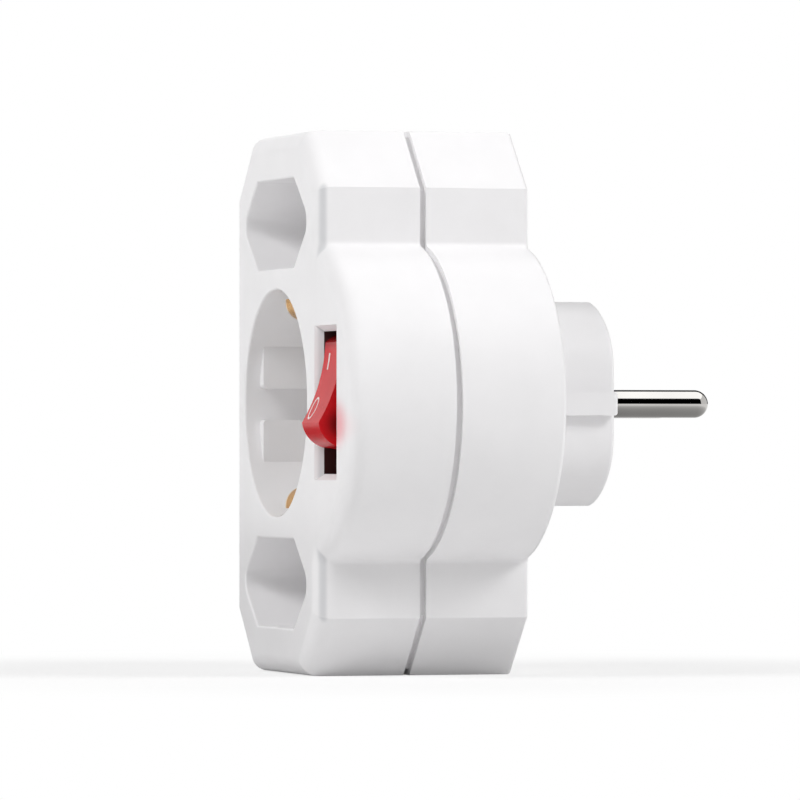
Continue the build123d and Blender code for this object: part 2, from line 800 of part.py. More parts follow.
def rocker_profile(x, inset=0.0):
    """Side view of the rocker: a hollow face, two round noses and a tapered skirt."""
    foot = rocker_half_length - skirt_taper
    with BuildSketch(rocker_plane(x)) as sketch:
        with BuildLine():
            ThreePointArc(
                (-rocker_lip, rocker_height),
                (0, rocker_height - rocker_sag),
                (rocker_lip, rocker_height),
            )
            CenterArc((nose_x, nose_y), nose_radius, 0, lip_angle)
            CenterArc((-nose_x, nose_y), nose_radius, 180 - lip_angle, lip_angle)
            Polyline(
                (rocker_half_length, nose_y),
                (foot, rocker_skirt),
                (-foot, rocker_skirt),
                (-rocker_half_length, nose_y),
            )
        make_face()
        if inset:
            offset(amount=-inset, kind=Kind.INTERSECTION)
            with Locations((0, rocker_skirt)):
                Rectangle(2 * (foot - inset), 3 * inset)
    return sketch.sketch


with BuildPart() as rocker:
    extrude(rocker_profile(-rocker_width / 2), amount=rocker_width)
    hollow = rocker_width - 2 * rocker_wall
    extrude(rocker_profile(-hollow / 2, rocker_wall), amount=hollow, mode=Mode.SUBTRACT)
    with BuildSketch(pivot_plane(-pillar_end)):
        Circle(pillar_radius)
    extrude(amount=pillar_end + rocker_height - rocker_sag - rocker_wall / 2)
    with BuildSketch(pivot_plane(-pillar_end)):
        Circle(plunger_radius + plunger_gap)
    extrude(amount=pillar_end + plunger_seat + spring_length, mode=Mode.SUBTRACT)
    for x in (-rocker_width / 2, hollow / 2):
        with BuildSketch(rocker_plane(x)):
            Circle(ear_radius)
            with Locations((0, rocker_skirt / 2)):
                Rectangle(2 * ear_radius, rocker_skirt)
        extrude(amount=rocker_wall)
    for x in (-rocker_width / 2 - trunnion_length, rocker_width / 2):
        with BuildSketch(rocker_plane(x)):
            Circle(trunnion_radius)
        extrude(amount=trunnion_length)
rocker.part.label = "rocker"
export_step(rocker.part, "parts/rocker.step")

# Plunger and its spring, inside the rocker's stem
with BuildPart() as plunger:
    with BuildSketch(Plane(origin=(switch_x, pivot_y, 0), x_dir=(1, 0, 0), z_dir=along)):
        with BuildLine():
            Polyline(
                (0, plunger_tip),
                (0, -plunger_seat),
                (plunger_radius, -plunger_seat),
                (plunger_radius, plunger_shoulder),
                (plunger_tip_radius, plunger_tip - plunger_tip_radius),
            )
            RadiusArc(
                (plunger_tip_radius, plunger_tip - plunger_tip_radius),
                (0, plunger_tip),
                -plunger_tip_radius,
            )
        make_face()
    revolve(axis=Axis((switch_x, pivot_y, 0), outward))
plunger.part.label = "plunger"
export_step(plunger.part, "parts/plunger.step")

with BuildPart() as plunger_spring:
    coil_radius = plunger_radius - spring_wire - plunger_gap
    with BuildLine() as coil:
        Helix(
            pitch=spring_pitch,
            height=spring_length - 3 * spring_wire,
            radius=coil_radius,
            center=tuple(pivot_plane(plunger_seat + 1.5 * spring_wire).origin),
            direction=outward,
        )
    with BuildSketch(Plane(origin=coil.line @ 0, z_dir=coil.line % 0)):
        Circle(spring_wire)
    sweep(is_frenet=True)
plunger_spring.part.label = "plunger_spring"
export_step(plunger_spring.part, "parts/plunger_spring.step")

# See-saw contact blade, leaning the other way from the rocker
blade_lean = radians(blade_tilt)
blade_along = (0, -sin(blade_lean), cos(blade_lean))
blade_plane = Plane(
    origin=(switch_x - blade_width / 2, blade_y, 0), x_dir=blade_along, z_dir=(1, 0, 0)
)
blade_rise = blade_half_length * tan(radians(blade_vee))
with BuildPart() as contact_blade:
    arms = [(-blade_half_length, blade_rise), (0, 0), (blade_half_length, blade_rise)]
    extrude(traced(blade_plane, arms, blade_bend, strip), amount=blade_width)
contact_blade.part.label = "contact_blade"
export_step(contact_blade.part, "parts/contact_blade.step")

# Contact buttons on the blade and on the load terminal
arm_angle = radians(blade_tilt - blade_vee)
arm_normal = Vector(0, cos(arm_angle), sin(arm_angle))
arm_down = Vector(0, sin(arm_angle), -cos(arm_angle))
hinge = Vector(switch_x, blade_y, 0)
button_base = hinge + arm_down * button_place + arm_normal * (strip / 2)
with BuildPart() as blade_button:
    with BuildSketch(Plane(origin=button_base, x_dir=(1, 0, 0), z_dir=arm_normal)):
        Circle(button_radius)
    extrude(amount=button_height)
blade_button.part.label = "blade_button"
export_step(blade_button.part, "parts/blade_button.step")

button_top = button_base + arm_normal * button_height
load_button_y = button_top.Y + button_radius * sin(arm_angle) + button_gap
head_y = load_button_y + button_height
with BuildPart() as load_button:
    with BuildSketch(cross_plane(load_button_y)):
        with Locations((switch_x, button_top.Z)):
            Circle(button_radius)
    extrude(amount=-button_height)
load_button.part.label = "load_button"
export_step(load_button.part, "parts/load_button.step")

# Terminals through the floor of the case
with BuildPart() as load_terminal:
    with BuildSketch(cross_plane(head_y)):
        with Locations((switch_x, -load_z)):
            Rectangle(terminal_width, strip)
    extrude(amount=-(load_run_y - strip / 2 - head_y))
    with BuildSketch(cross_plane(head_y)):
        with Locations((switch_x, -load_z + load_head / 2 - strip / 2)):
            Rectangle(terminal_width, load_head)
    extrude(amount=-strip)
load_terminal.part.label = "load_terminal"
export_step(load_terminal.part, "parts/load_terminal.step")

with BuildPart() as common_terminal:
    cradle_width = blade_width + 2 * cradle_ear + 2 * button_gap
    seat_y = blade_y + strip / 2 + blade_gap
    with BuildSketch(cross_plane(blade_y - cradle_rise)):
        with Locations((switch_x, 0)):
            Rectangle(cradle_width, strip)
            Rectangle(blade_width + 2 * button_gap, strip, mode=Mode.SUBTRACT)
    extrude(amount=-(case_floor_y - blade_y + cradle_rise))
    with BuildSketch(cross_plane(seat_y)):
        with Locations((switch_x, 0)):
            Rectangle(terminal_width, strip)
    extrude(amount=-(feed_run_y - strip / 2 - seat_y))
common_terminal.part.label = "common_terminal"
export_step(common_terminal.part, "parts/common_terminal.step")

with BuildPart() as neutral_terminal:
    with BuildSketch(cross_plane(front_y + neutral_top_depth)):
        with Locations((switch_x, neutral_z)):
            Rectangle(terminal_width, strip)
    extrude(amount=-(neutral_end_depth - neutral_top_depth))
neutral_terminal.part.label = "neutral_terminal"
export_step(neutral_terminal.part, "parts/neutral_terminal.step")

# Neon lamp and resistor, lying across the case
with BuildPart() as neon_lamp:
    with BuildSketch(along_switch(front_y + lamp_depth, -lamp_z)):
        Circle(lamp_radius)
    extrude(amount=lamp_length / 2, both=True)
    fillet(neon_lamp.edges().filter_by(GeomType.CIRCLE), lamp_radius / 3)
neon_lamp.part.label = "neon_lamp"
export_step(neon_lamp.part, "parts/neon_lamp.step")

with BuildPart() as lamp_resistor:
    with BuildSketch(along_switch(front_y + resistor_depth, lamp_z)):
        Circle(resistor_radius)
    extrude(amount=resistor_length / 2, both=True)
    fillet(lamp_resistor.edges().filter_by(GeomType.CIRCLE), resistor_radius / 3)
lamp_resistor.part.label = "lamp_resistor"
export_step(lamp_resistor.part, "parts/lamp_resistor.step")


def wire(points, radius, bend):
    """Round wire along a filleted path, starting square to its first run."""
    with BuildPart() as lead:
        with BuildLine() as path:
            FilletPolyline(*points, radius=bend)
        with BuildSketch(Plane(origin=points[0], z_dir=path.line @ 0.01 - path.line @ 0)):
            Circle(radius)
        sweep()
    return lead.part


lamp_y = front_y + lamp_depth
resistor_y = front_y + resistor_depth
lead_y = front_y + lead_depth
lamp_left = switch_x - lamp_length / 2
lamp_right = switch_x + lamp_length / 2
lead_left = switch_x - lead_reach
lead_right = switch_x + lead_reach
terminal_edge = switch_x + terminal_width / 2

lamp_link_lead = wire(
    [
        (lamp_left, lamp_y, -lamp_z),
        (lead_left, lamp_y, -lamp_z),
        (lead_left, resistor_y, lamp_z),
        (switch_x - resistor_length / 2, resistor_y, lamp_z),
    ],
    lead_radius,
    lead_bend,
)
lamp_link_lead.label = "lamp_link_lead"
export_step(lamp_link_lead, "parts/lamp_link_lead.step")

lamp_load_lead = wire(
    [
        (lamp_right, lamp_y, -lamp_z),
        (lead_right, lamp_y, -lamp_z),
        (lead_right, lead_y, -lamp_z),
        (lead_right, lead_y, -load_z),
        (terminal_edge, lead_y, -load_z),
    ],
    lead_radius,
    lead_bend,
)
lamp_load_lead.label = "lamp_load_lead"
export_step(lamp_load_lead, "parts/lamp_load_lead.step")

lamp_neutral_lead = wire(
    [
        (switch_x + resistor_length / 2, resistor_y, lamp_z),
        (lead_right, resistor_y, lamp_z),
        (lead_right, lead_y, lamp_z),
        (lead_right, lead_y, neutral_z),
        (terminal_edge, lead_y, neutral_z),
    ],
    lead_radius,
    lead_bend,
)
lamp_neutral_lead.label = "lamp_neutral_lead"
export_step(lamp_neutral_lead, "parts/lamp_neutral_lead.step")

# Insulated wire from the neutral busbar to the lamp's terminal
wire_run_y = rear_wall_y - wire_rear_gap - wire_radius
neutral_wire = wire(
    [
        (-busbar_x, busbar_y + busbar_width / 2, neutral_z),
        (-busbar_x + wire_lead_in, busbar_y + busbar_width / 2, neutral_z),
        (0, wire_run_y, neutral_z),
        (switch_x, wire_run_y, neutral_z),
        (switch_x, front_y + neutral_end_depth, neutral_z),
    ],
    wire_radius,
    2 * wire_radius,
)
neutral_wire.label = "neutral_wire"
export_step(neutral_wire, "parts/neutral_wire.step")
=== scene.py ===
"""Looks and studio for a white three-way plug adapter with a lit red rocker switch."""

import logging
import math
from dataclasses import dataclass
from enum import Enum
from typing import Callable, Sequence

import bmesh
import bpy
from mathutils import Matrix, Vector


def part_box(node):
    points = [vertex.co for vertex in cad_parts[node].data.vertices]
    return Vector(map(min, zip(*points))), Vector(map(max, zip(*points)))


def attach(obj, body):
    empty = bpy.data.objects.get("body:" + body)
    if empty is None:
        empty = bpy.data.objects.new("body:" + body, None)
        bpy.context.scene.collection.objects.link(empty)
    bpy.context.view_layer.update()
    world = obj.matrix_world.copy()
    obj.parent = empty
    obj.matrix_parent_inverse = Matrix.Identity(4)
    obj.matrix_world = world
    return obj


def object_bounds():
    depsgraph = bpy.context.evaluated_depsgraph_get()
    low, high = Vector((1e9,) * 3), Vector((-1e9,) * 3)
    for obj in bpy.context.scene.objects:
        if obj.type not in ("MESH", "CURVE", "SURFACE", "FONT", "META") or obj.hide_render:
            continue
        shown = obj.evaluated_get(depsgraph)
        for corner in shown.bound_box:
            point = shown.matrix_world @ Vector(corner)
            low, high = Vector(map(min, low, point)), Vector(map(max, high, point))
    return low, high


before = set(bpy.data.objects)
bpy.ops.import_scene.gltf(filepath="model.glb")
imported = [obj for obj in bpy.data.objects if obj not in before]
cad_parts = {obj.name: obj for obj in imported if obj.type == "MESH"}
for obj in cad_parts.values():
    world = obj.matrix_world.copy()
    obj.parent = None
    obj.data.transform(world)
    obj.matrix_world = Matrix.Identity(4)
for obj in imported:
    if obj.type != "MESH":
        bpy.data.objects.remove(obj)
CAD_LOW, CAD_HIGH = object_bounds()
log = logging.getLogger("plug_adapter")

MM = 0.001
WHITE = "#FFFFFF"
WELD_DISTANCE = 1e-7
LEVEL_TOLERANCE = 1e-9
SHARP_ANGLE = math.radians(35)
CLOUD_NOISE = {"Detail": 3.0, "Roughness": 0.55}
FINE_NOISE = {"Detail": 2.0, "Roughness": 0.5}
# The span that most of a noise's values fill, and the part of it over which a tone drifts.
NOISE_SPAN = (0.3, 0.7)
DRIFT_SPAN = (0.35, 0.65)
# Places of the Mix node's sockets for its share, its two colours and its result.
MIX_SHARE, MIX_UNDER, MIX_OVER, MIX_COLOUR = 0, 6, 7, 2
Triple = tuple[float, float, float]


def linear(hex_colour: str) -> tuple[float, float, float, float]:
    """Turn an sRGB hex colour into Blender's linear colour.

    Args:
        hex_colour: Six hex digits, with or without a leading #.

    Returns:
        Linear red, green, blue and an alpha of 1.
    """
    digits = hex_colour.lstrip("#")
    shares = [int(digits[i : i + 2], 16) / 255 for i in (0, 2, 4)]
    parts = [s / 12.92 if s <= 0.04045 else ((s + 0.055) / 1.055) ** 2.4 for s in shares]
    return parts[0], parts[1], parts[2], 1.0


def metres(point_mm: Sequence[float]) -> Vector:
    """A point in millimetres as a vector in metres."""
    return Vector(point_mm) * MM


def add_node(
    tree: bpy.types.NodeTree,
    kind: str,
    values: dict | None = None,
    links: dict | None = None,
    **settings: object,
) -> bpy.types.Node:
    """Add one node with its settings, fixed inputs and incoming links.

    Args:
        tree: The tree that gets the node.
        kind: The node's type name.
        values: Fixed values by input name or index.
        links: Source sockets by input name or index.
        **settings: Properties of the node itself.

    Returns:
        The new node.
    """
    node = tree.nodes.new(kind)
    for name, setting in settings.items():
        setattr(node, name, setting)
    for key, value in (values or {}).items():
        node.inputs[key].default_value = value
    for key, source in (links or {}).items():
        tree.links.new(source, node.inputs[key])
    return node


def map_range(
    tree: bpy.types.NodeTree,
    value: bpy.types.NodeSocket,
    source: tuple[float, float],
    target: tuple[float, float] = (0.0, 1.0),
    **settings: object,
) -> bpy.types.NodeSocket:
    """Carry a value over from one range to another.

    Args:
        tree: The tree that gets the node.
        value: The value's socket.
        source: The ends of the range that it comes from.
        target: The ends of the range that it goes to.
        **settings: Properties of the node itself.

    Returns:
        The socket of the value carried over.
    """
    ends = {"From Min": source[0], "From Max": source[1], "To Min": target[0], "To Max": target[1]}
    node = add_node(tree, "ShaderNodeMapRange", ends, {"Value": value}, **settings)
    return node.outputs["Result"]


def empty_material(name: str) -> tuple[bpy.types.Material, bpy.types.NodeTree]:
    """Make a node material with nothing in its tree yet.

    Args:
        name: The material's name.

    Returns:
        The material and its tree.
    """
    made = bpy.data.materials.new(name)
    made.use_nodes = True
    made.node_tree.nodes.clear()
    return made, made.node_tree


def mesh_object(name: str, shape: bmesh.types.BMesh) -> bpy.types.Object:
    """Turn a shape into an object of the scene.

    Args:
        name: The name of the object and its mesh.
        shape: The shape in metres, in place; it is freed here.

    Returns:
        The new object.
    """
    mesh = bpy.data.meshes.new(name)
    shape.to_mesh(mesh)
    shape.free()
    made = bpy.data.objects.new(name, mesh)
    bpy.context.scene.collection.objects.link(made)
    return made


def aim(holder: bpy.types.Object, place: Triple, target: Triple) -> None:
    """Stand a lamp or a camera at its place and turn it to its target.

    Args:
        holder: The lamp or the camera.
        place: Where it stands, in metres.
        target: What it looks at, in metres.
    """
    holder.location = place
    look = Vector(target) - Vector(place)
    holder.rotation_euler = look.to_track_quat("-Z", "Y").to_euler()
    bpy.context.scene.collection.objects.link(holder)


class Grain(Enum):
    """How a surface pattern is drawn out: a share of its pace along X, Y and Z."""

    EVEN = (1.0, 1.0, 1.0)
    LINES_ALONG_X = (0.04, 1.0, 1.0)
    LINES_ALONG_Y = (1.0, 0.04, 1.0)
    LINES_ALONG_Z = (1.0, 1.0, 0.04)
    TURNED_ROUND_Y = (0.05, 1.0, 0.05)


@dataclass(frozen=True)
class Spot:
    """A soft round patch of another colour that paints in light or shade, such as light or shade
    through thin plastic.
    """

    centre_mm: Triple
    reach_mm: float
    colour: str
    share: float
    core_mm: float = 0.0
    squeeze: Triple = (1.0, 1.0, 1.0)


@dataclass(frozen=True)
class Finish:
    """One real surface: what it is made of and how it was made."""

    name: str
    colour: str
    colour_far: str
    roughness: tuple[float, float]
    grain_mm: float
    grain_depth_mm: float
    grain: Grain = Grain.EVEN
    cloud_mm: float = 14.0
    metallic: float = 0.0
    ior: float = 1.5
    shine: float = 0.5
    coat: float = 0.0
    coat_roughness: float = 0.1
    transmission: float = 0.0
    subsurface: float = 0.0
    subsurface_mm: float = 1.0
    glow: str = ""
    glow_strength: float = 0.0
    # Spots of painted light and shade, laid over the colour.
    spots: tuple[Spot, ...] = ()

    def material(self) -> bpy.types.Material:
        """Make the finish's node material.

        Returns:
            A material whose colour, roughness and relief vary over the surface.
        """
        made, tree = empty_material(self.name)
        place = add_node(tree, "ShaderNodeTexCoord").outputs["Object"]
        drawn = add_node(
            tree, "ShaderNodeMapping", {"Scale": self.grain.value}, {"Vector": place}
        ).outputs["Vector"]
        cloud = add_node(
            tree,
            "ShaderNodeTexNoise",
            {"Scale": 1 / (self.cloud_mm * MM), **CLOUD_NOISE},
            {"Vector": place},
        ).outputs["Fac"]
        fine = add_node(
            tree,
            "ShaderNodeTexNoise",
            {"Scale": 1 / (self.grain_mm * MM), **FINE_NOISE},
            {"Vector": drawn},
        ).outputs["Fac"]
        both = add_node(
            tree,
            "ShaderNodeMath",
            {1: 0.5},
            {0: cloud, 2: self.halved(tree, fine)},
            operation="MULTIPLY_ADD",
        ).outputs["Value"]
        rough = map_range(tree, both, NOISE_SPAN, self.roughness)
        relief = add_node(
            tree,
            "ShaderNodeBump",
            {"Strength": 1.0, "Distance": self.grain_depth_mm * MM},
            {"Height": fine},
        ).outputs["Normal"]
        shader = add_node(
            tree,
            "ShaderNodeBsdfPrincipled",
            {
                "Metallic": self.metallic,
                "IOR": self.ior,
                "Specular IOR Level": self.shine,
                "Coat Weight": self.coat,
                "Coat Roughness": self.coat_roughness,
                "Transmission Weight": self.transmission,
                "Subsurface Weight": self.subsurface,
                "Subsurface Scale": self.subsurface_mm * MM,
            },
            {
                "Base Color": self.colours(tree, place, cloud),
                "Roughness": rough,
                "Normal": relief,
            },
        )
        if self.glow:
            shader.inputs["Emission Color"].default_value = linear(self.glow)
            shader.inputs["Emission Strength"].default_value = self.glow_strength
        add_node(tree, "ShaderNodeOutputMaterial", links={"Surface": shader.outputs["BSDF"]})
        made.diffuse_color = linear(self.colour)
        return made

    @staticmethod
    def halved(tree: bpy.types.NodeTree, value: bpy.types.NodeSocket) -> bpy.types.NodeSocket:
        """Half of a value, as a socket."""
        return add_node(
            tree, "ShaderNodeMath", {1: 0.5}, {0: value}, operation="MULTIPLY"
        ).outputs["Value"]

    def colours(
        self, tree: bpy.types.NodeTree, place: bpy.types.NodeSocket, cloud: bpy.types.NodeSocket
    ) -> bpy.types.NodeSocket:
        """Colour that drifts between the finish's two tones, with its spots of painted light and
        shade on top.

        Args:
            tree: The material's tree.
            place: Object coordinates.
            cloud: The broad, slow pattern.

        Returns:
            The colour socket.
        """
        ramp = add_node(tree, "ShaderNodeValToRGB", links={"Fac": cloud})
        near, far = ramp.color_ramp.elements
        near.position, far.position = DRIFT_SPAN
        near.color, far.color = linear(self.colour), linear(self.colour_far)
        colour = ramp.outputs["Color"]
        for spot in self.spots:
            offset = add_node(
                tree,
                "ShaderNodeVectorMath",
                {1: metres(spot.centre_mm)},
                {0: place},
                operation="SUBTRACT",
            ).outputs["Vector"]
            squeezed = add_node(
                tree, "ShaderNodeVectorMath", {1: spot.squeeze}, {0: offset}, operation="MULTIPLY"
            ).outputs["Vector"]
            away = add_node(
                tree, "ShaderNodeVectorMath", links={0: squeezed}, operation="LENGTH"
            ).outputs["Value"]
            share = map_range(
                tree,
                away,
                (spot.core_mm * MM, spot.reach_mm * MM),
                (spot.share, 0.0),
                interpolation_type="SMOOTHSTEP",
            )
            colour = add_node(
                tree,
                "ShaderNodeMix",
                {MIX_OVER: linear(spot.colour)},
                {MIX_SHARE: share, MIX_UNDER: colour},
                data_type="RGBA",
            ).outputs[MIX_COLOUR]
        return colour


@dataclass(frozen=True)
class BandedFinish(Finish):
    """A finish with painted colour bands across X, as on a resistor's body."""

    start_mm: float = 0.0
    length_mm: float = 1.0
    bands: tuple[tuple[float, str], ...] = ()

    def colours(
        self, tree: bpy.types.NodeTree, place: bpy.types.NodeSocket, cloud: bpy.types.NodeSocket
    ) -> bpy.types.NodeSocket:
        """Hard-edged bands along the body, each from its own share of the length."""
        along = add_node(tree, "ShaderNodeSeparateXYZ", links={"Vector": place}).outputs["X"]
        share = map_range(
            tree, along, (self.start_mm * MM, (self.start_mm + self.length_mm) * MM)
        )
        ramp = add_node(tree, "ShaderNodeValToRGB", links={"Fac": share})
        ramp.color_ramp.interpolation = "CONSTANT"
        elements = ramp.color_ramp.elements
        elements[0].color = linear(self.bands[0][1])
        elements.remove(elements[1])
        for position, colour in self.bands[1:]:
            elements.new(position).color = linear(colour)
        return ramp.outputs["Color"]


# Injection-moulded white ABS: satin gloss, a barely seen orange-peel relief, a painted pink glow
# where the lit rocker's light falls on the wall beside it, and a painted grey shade line down the
# other side of its opening, which goes on along the arms above and below it.
SHELL = Finish(
    name="moulded_white_abs",
    colour="#F3F2F3",
    colour_far="#F0EFF0",
    roughness=(0.30, 0.38),
    grain_mm=0.9,
    grain_depth_mm=0.0012,
    ior=1.53,
    shine=0.2,
    spots=(
        # Painted pink glow: the lit rocker's light on the wall beside it.
        Spot((36.6, -55.6, -3.7), 5.4, "#FFC2C7", 0.95, 1.0, (0.55, 1.0, 1.0)),
        # Painted grey shade line down the wall beside the opening, which goes on along the arms.
        Spot((25.1, -55.2, 0.0), 1.2, "#C4C5C8", 0.6, 0.3, (1.0, 1.0, 0.0)),
    ),
)
# Clear red polycarbonate, polished mould: the face takes a pale sheen, both sides get painted
# shade in their middle, where the stem shows through, the upper end gets painted shade of a deeper
# red, and a faint painted glow stands for the lamp's light coming through it.
ROCKER = Finish(
    name="moulded_clear_red_polycarbonate",
    colour="#CC1620",
    colour_far="#C0121B",
    roughness=(0.2, 0.28),
    grain_mm=1.4,
    grain_depth_mm=0.0008,
    ior=1.2,
    subsurface=0.1,
    subsurface_mm=1.0,
    # Painted glow: a faint red light of its own stands for the lamp's light through the rocker.
    glow="#FF2A2A",
    glow_strength=0.03,
    spots=(
        # Painted shade in the middle of both sides, where the stem shows through the clear red.
        Spot((35.85, -55.1, -3.6), 3.6, "#3A0608", 0.82, 0.6),
        Spot((25.85, -55.1, -3.6), 3.6, "#3A0608", 0.82, 0.6),
        # Painted shadow: the upper end darkened to a deeper red.
        Spot((30.85, -52.7, 12.0), 4.2, "#50070A", 0.92, 1.8, (0.0, 1.0, 1.0)),
    ),
)
# Black-brown moulded thermoset of the switch case, warmed by the red light that falls in.
CASE = Finish(
    name="moulded_dark_switch_case",
    colour="#3A0D0E",
    colour_far="#300A0B",
    roughness=(0.45, 0.6),
    grain_mm=0.8,
    grain_depth_mm=0.004,
    ior=1.55,
)
# Nickel-plated brass, turned and polished: mirror bright with faint rings round the pin.
PIN = Finish(
    name="polished_nickel_plated_pin",
    colour="#C9C7C4",
    colour_far="#C1BFBC",
    roughness=(0.04, 0.08),
    grain_mm=0.35,
    grain_depth_mm=0.0001,
    grain=Grain.TURNED_ROUND_Y,
    metallic=1.0,
)
# Bare rolled brass: warm gold with fine lines in the way of rolling and pale painted highlights
# along its two edges.
EARTH_BRASS = Finish(
    name="rolled_brass_earth_spring",
    colour="#DBA44A",
    colour_far="#CE953E",
    roughness=(0.22, 0.34),
    grain_mm=0.35,
    grain_depth_mm=0.0015,
    grain=Grain.LINES_ALONG_Y,
    cloud_mm=5.0,
    metallic=1.0,
    spots=(
        # Painted highlights: pale bands along the strip's two edges.
        Spot((-3.0, 0.0, 0.0), 0.9, "#FFF6E4", 0.85, 0.25, (1.0, 0.0, 0.0)),
        Spot((3.0, 0.0, 0.0), 0.9, "#FFF6E4", 0.85, 0.25, (1.0, 0.0, 0.0)),
    ),
)
# Rolled brass of the two busbars, with its fine lines along their height.
BUSBAR_BRASS = Finish(
    name="rolled_brass_busbar",
    colour="#D9A650",
    colour_far="#C99442",
    roughness=(0.26, 0.38),
    grain_mm=0.35,
    grain_depth_mm=0.0015,
    grain=Grain.LINES_ALONG_Z,
    cloud_mm=7.0,
    metallic=1.0,
)
# The same brass on the straps and the terminals, with its fine lines across the adapter.
STRAP_BRASS = Finish(
    name="rolled_brass_strap",
    colour="#D9A650",
    colour_far="#C99442",
    roughness=(0.26, 0.38),
    grain_mm=0.35,
    grain_depth_mm=0.0015,
    grain=Grain.LINES_ALONG_X,
    cloud_mm=5.0,
    metallic=1.0,
)
# Spring brass of the contacts: paler and smoother than the strips.
CONTACT_BRASS = Finish(
    name="spring_brass_contact",
    colour="#DDB265",
    colour_far="#D2A458",
    roughness=(0.18, 0.3),
    grain_mm=0.35,
    grain_depth_mm=0.001,
    grain=Grain.LINES_ALONG_Y,
    cloud_mm=4.0,
    metallic=1.0,
)
# Silver rivet head: soft white metal, slightly dulled.
BUTTON_SILVER = Finish(
    name="pressed_silver_contact",
    colour="#DCDAD4",
    colour_far="#CFCCC4",
    roughness=(0.25, 0.4),
    grain_mm=0.4,
    grain_depth_mm=0.001,
    cloud_mm=2.0,
    metallic=1.0,
)
# Bright zinc-plated steel screws: cool grey with a cloudy shine.
SCREW_ZINC = Finish(
    name="zinc_plated_steel_screw",
    colour="#B9BCC0",
    colour_far="#A7AAB0",
    roughness=(0.24, 0.42),
    grain_mm=0.4,
    grain_depth_mm=0.0015,
    grain=Grain.TURNED_ROUND_Y,
    cloud_mm=2.5,
    metallic=1.0,
)
# Drawn spring steel: dark grey wire, faintly cloudy.
SPRING_STEEL = Finish(
    name="drawn_spring_steel",
    colour="#8D8F92",
    colour_far="#77797C",
    roughness=(0.22, 0.36),
    grain_mm=0.35,
    grain_depth_mm=0.001,
    cloud_mm=1.5,
    metallic=1.0,
)
# Tinned copper lead of the lamp and the resistor: soft pale metal.
LEAD_TIN = Finish(
    name="tinned_copper_lead",
    colour="#C6C7C6",
    colour_far="#B3B4B3",
    roughness=(0.28, 0.42),
    grain_mm=0.4,
    grain_depth_mm=0.001,
    cloud_mm=2.0,
    metallic=1.0,
)
# Moulded acetal plunger: milky white, waxy.
PLUNGER_ACETAL = Finish(
    name="moulded_acetal_plunger",
    colour="#E9E5DA",
    colour_far="#E1DCCF",
    roughness=(0.34, 0.44),
    grain_mm=0.6,
    grain_depth_mm=0.001,
    cloud_mm=3.0,
    ior=1.48,
    subsurface=0.1,
)
# Soft PVC insulation, extruded: blue, slightly greasy shine.
WIRE_PVC = Finish(
    name="extruded_blue_pvc",
    colour="#2348A8",
    colour_far="#1E3F98",
    roughness=(0.36, 0.48),
    grain_mm=0.5,
    grain_depth_mm=0.002,
    grain=Grain.LINES_ALONG_X,
    cloud_mm=4.0,
    ior=1.53,
)
# Blown soda glass of the neon lamp: clear, faintly warm.
LAMP_GLASS = Finish(
    name="blown_glass_lamp",
    colour="#FFE9DE",
    colour_far="#FFE4D8",
    roughness=(0.02, 0.05),
    grain_mm=1.5,
    grain_depth_mm=0.0005,
    cloud_mm=4.0,
    ior=1.5,
    transmission=0.95,
)
# Nickel wire electrodes inside the lamp, in neon's weak orange glow.
ELECTRODE_NICKEL = Finish(
    name="drawn_nickel_electrode",
    colour="#A9A6A0",
    colour_far="#98958F",
    roughness=(0.3, 0.45),
    grain_mm=0.35,
    grain_depth_mm=0.0008,
    grain=Grain.LINES_ALONG_X,
    cloud_mm=1.5,
    metallic=1.0,
    glow="#FF5A1E",
    glow_strength=0.6,
)
# Lacquered film resistor: glossy tan body with four painted bands.
RESISTOR_LACQUER = BandedFinish(
    name="lacquered_film_resistor",
    colour="#C9AE82",
    colour_far="#C2A678",
    roughness=(0.2, 0.32),
    grain_mm=0.6,
    grain_depth_mm=0.002,
    cloud_mm=2.0,
    ior=1.52,
    coat=0.3,
    start_mm=27.65,
    length_mm=6.4,
    bands=(
        (0.0, "#C9AE82"),
        (0.12, "#6A3A1C"),
        (0.22, "#C9AE82"),
        (0.34, "#1A1716"),
        (0.44, "#C9AE82"),
        (0.56, "#D9A31E"),
        (0.66, "#C9AE82"),
        (0.80, "#A8842C"),
        (0.90, "#C9AE82"),
    ),
)
# White pad-printing ink on the rocker: matt, slightly uneven.
MARK_INK = Finish(
    name="pad_printed_white_ink",
    colour="#FBF3F2",
    colour_far="#F5E9E8",
    roughness=(0.5, 0.62),
    grain_mm=0.4,
    grain_depth_mm=0.001,
    cloud_mm=1.0,
    ior=1.5,
)


def dress(node: str, finish: bpy.types.Material) -> None:
    """Give a carried-over node its finish.

    Args:
        node: The CAD node's name.
        finish: The material that it gets.
    """
    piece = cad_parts[node]
    if not piece.material_slots:
        piece.data.materials.append(finish)
    for slot in piece.material_slots:
        slot.material = finish
    log.info("dressed %s in %s", node, finish.name)


def new_piece(
    name: str, shape: bmesh.types.BMesh, finish: bpy.types.Material, body: str
) -> bpy.types.Object:
    """Turn a finished shape into a piece that rides on a body.

    Args:
        name: The piece's name.
        shape: Its mesh in metres, in place; it is freed here.
        finish: Its material.
        body: The CAD body it moves with.

    Returns:
        The new object.
    """
    bmesh.ops.remove_doubles(shape, verts=shape.verts, dist=WELD_DISTANCE)
    bmesh.ops.recalc_face_normals(shape, faces=shape.faces)
    piece = mesh_object(name, shape)
    for face in piece.data.polygons:
        face.use_smooth = True
    piece.data.set_sharp_from_angle(angle=SHARP_ANGLE)
    piece.data.materials.append(finish)
    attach(piece, body)
    log.info("built %s: %d faces", name, len(piece.data.polygons))
    return piece


@dataclass
class Housing:
    """The two moulded shells and the four screws that hold them."""

    shells: tuple[str, ...] = ("front_shell", "rear_shell")
    screws: tuple[str, ...] = ("housing_screws",)

    def dress(self) -> None:
        """Dress the shells and the screws."""
        plastic, zinc = SHELL.material(), SCREW_ZINC.material()
        for node in self.shells:
            dress(node, plastic)
        for node in self.screws:
            dress(node, zinc)


